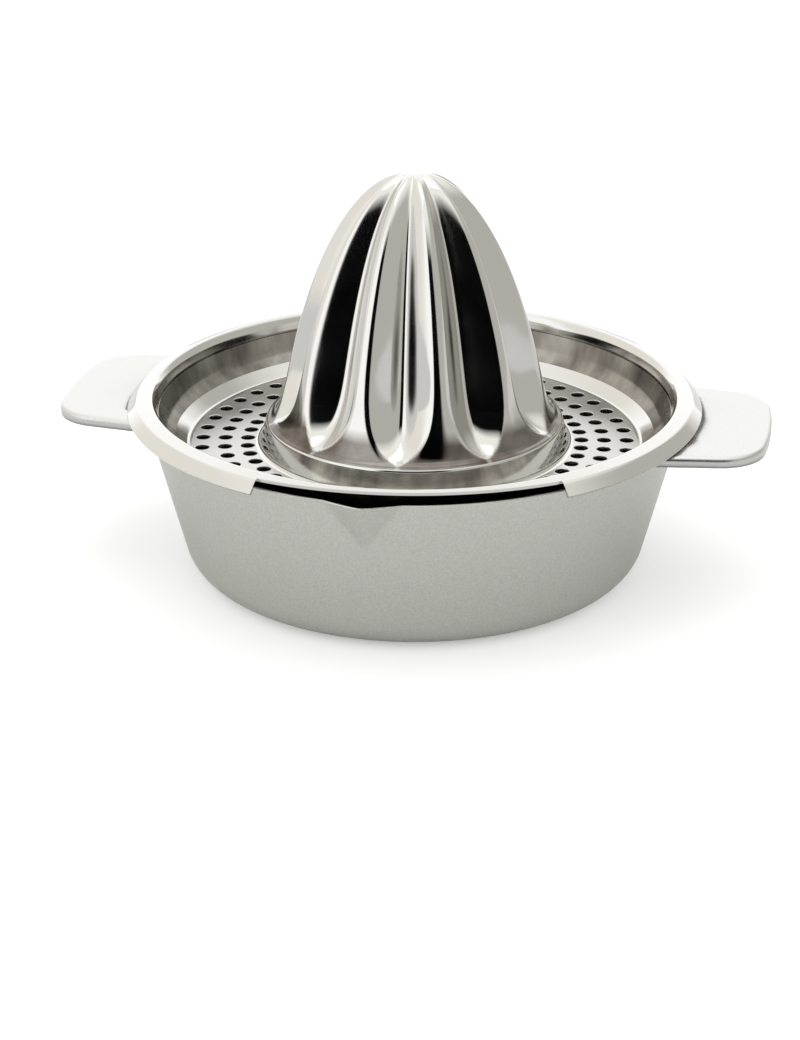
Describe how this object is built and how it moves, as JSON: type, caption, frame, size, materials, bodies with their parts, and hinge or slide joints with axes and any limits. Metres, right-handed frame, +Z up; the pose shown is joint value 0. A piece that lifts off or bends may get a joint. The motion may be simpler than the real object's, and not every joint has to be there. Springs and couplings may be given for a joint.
{
  "type": "hand citrus juicer",
  "caption": "Two-piece pressed steel hand juicer: fluted cone on a perforated dish that lifts off a round bowl with a pouring spout and two flat handles.",
  "frame": {"origin": "centre of the bowl's flat base, on the surface that the juicer stands on", "axes": "+Z up along the axis of the bowl and cone, +X towards the right handle, -Y towards the pouring spout"},
  "size_m": [0.1808, 0.1443, 0.1027],
  "materials": {
    "satin_steel": "satin",
    "polished_steel": "mirror polish"
  },
  "bodies": {
    "bowl": {"bowl": "satin_steel", "handle_left": "satin_steel", "handle_right": "satin_steel"},
    "reamer_top": {"reamer_strainer": "polished_steel"}
  },
  "joints": [
    {"name": "top_lift", "type": "slide", "parent": "bowl", "child": "reamer_top", "axis": [0, 0, 1], "range_m": [0, 0.08]}
  ]
}
